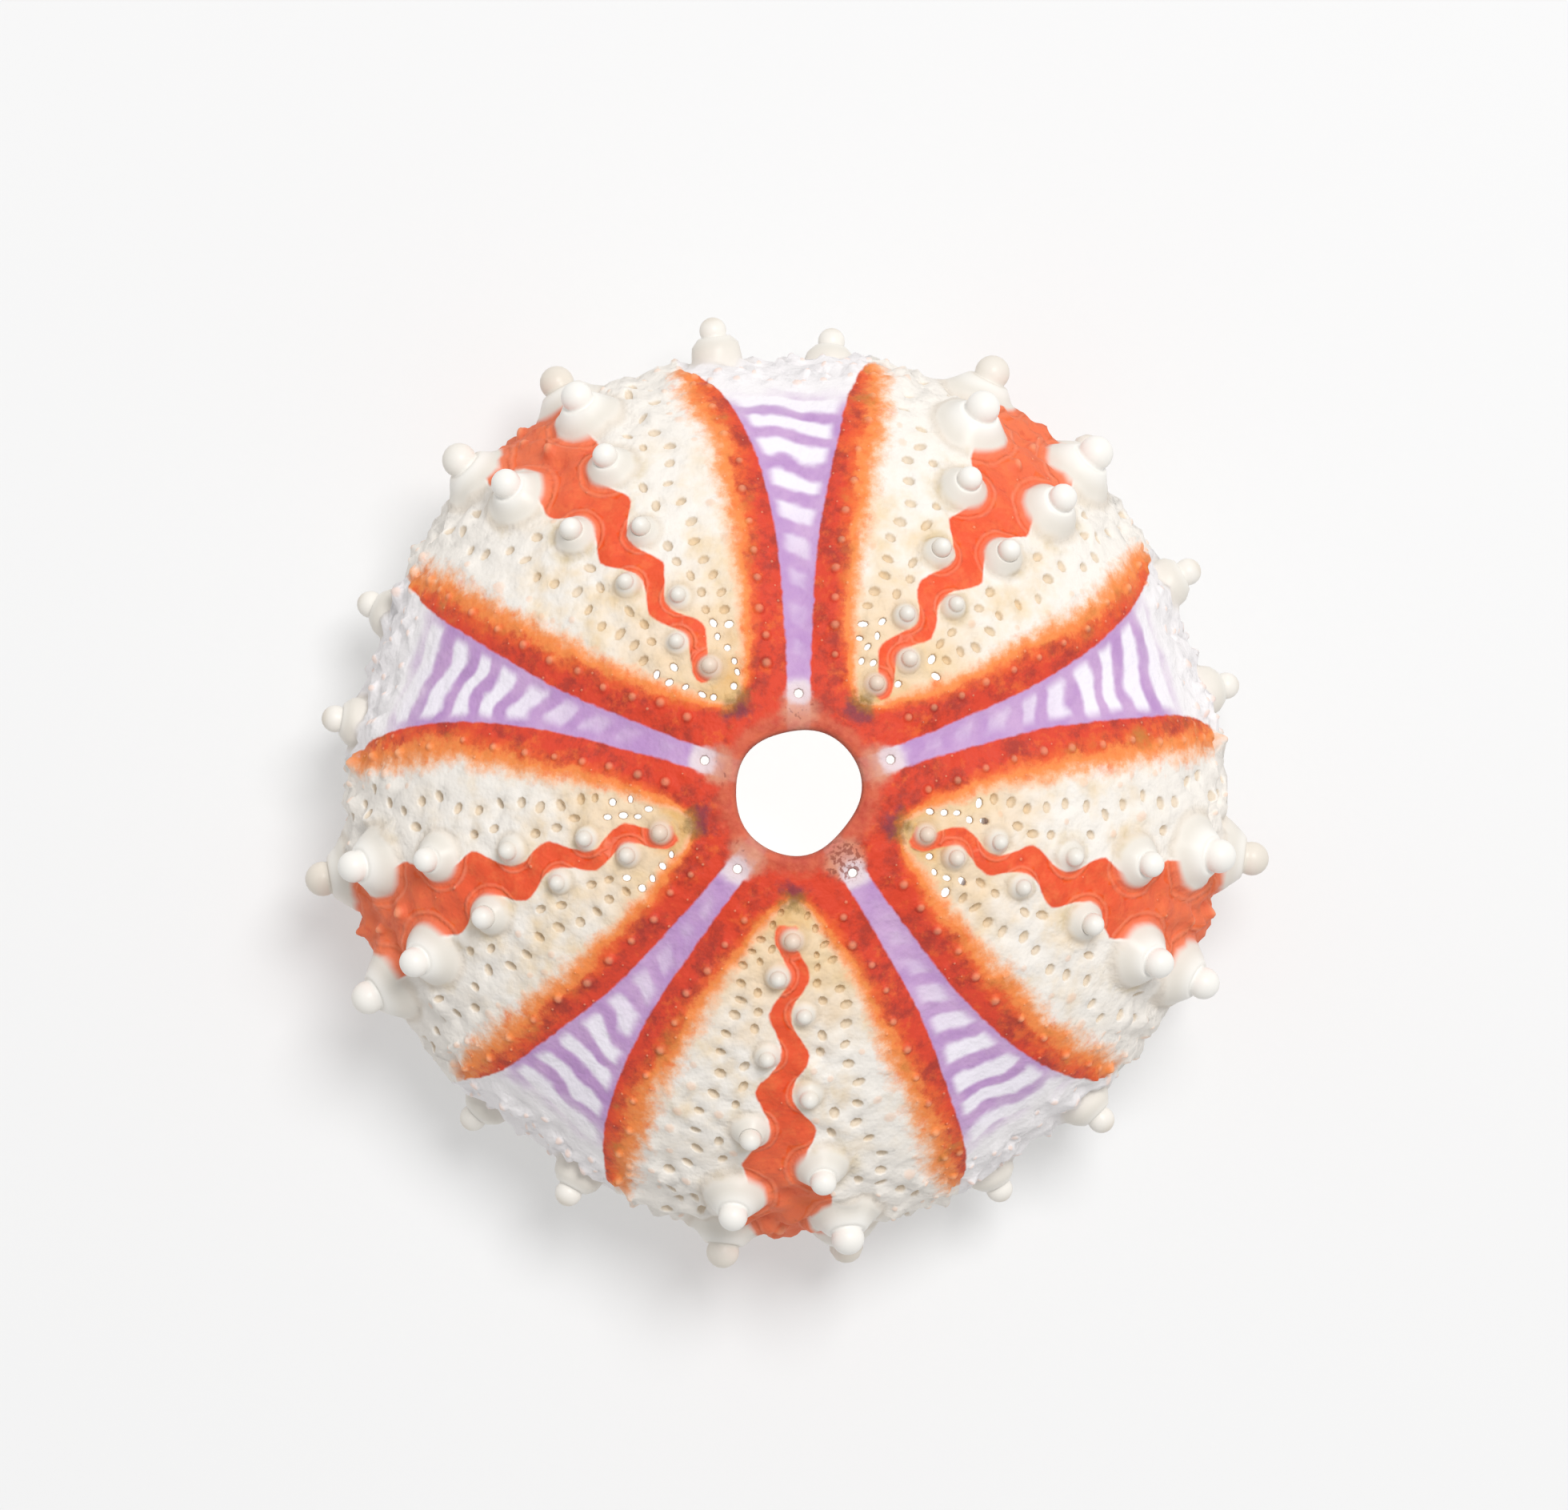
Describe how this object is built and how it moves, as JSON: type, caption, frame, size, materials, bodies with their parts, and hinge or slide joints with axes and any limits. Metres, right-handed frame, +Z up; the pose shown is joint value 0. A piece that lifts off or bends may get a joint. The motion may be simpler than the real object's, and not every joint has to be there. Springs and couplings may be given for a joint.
{
  "type": "sea urchin shell",
  "caption": "Hollow domed sea urchin shell with five rays of ball-topped tubercles, bare coloured strips between them, a round top opening and a wide mouth opening underneath.",
  "frame": {"origin": "on the resting plane, under the middle of the shell", "axes": "+Z up along the shell's axis, out of the top opening; +Y towards the strip at the top of the picture, +X to its right"},
  "size_m": [0.0373, 0.0367, 0.0158],
  "materials": {
    "shell": "dry porous calcite, white to cream with red-orange bands, lilac bare strips and porcelain-smooth tubercles"
  },
  "bodies": {
    "root": {"shell": "shell"}
  },
  "joints": []
}
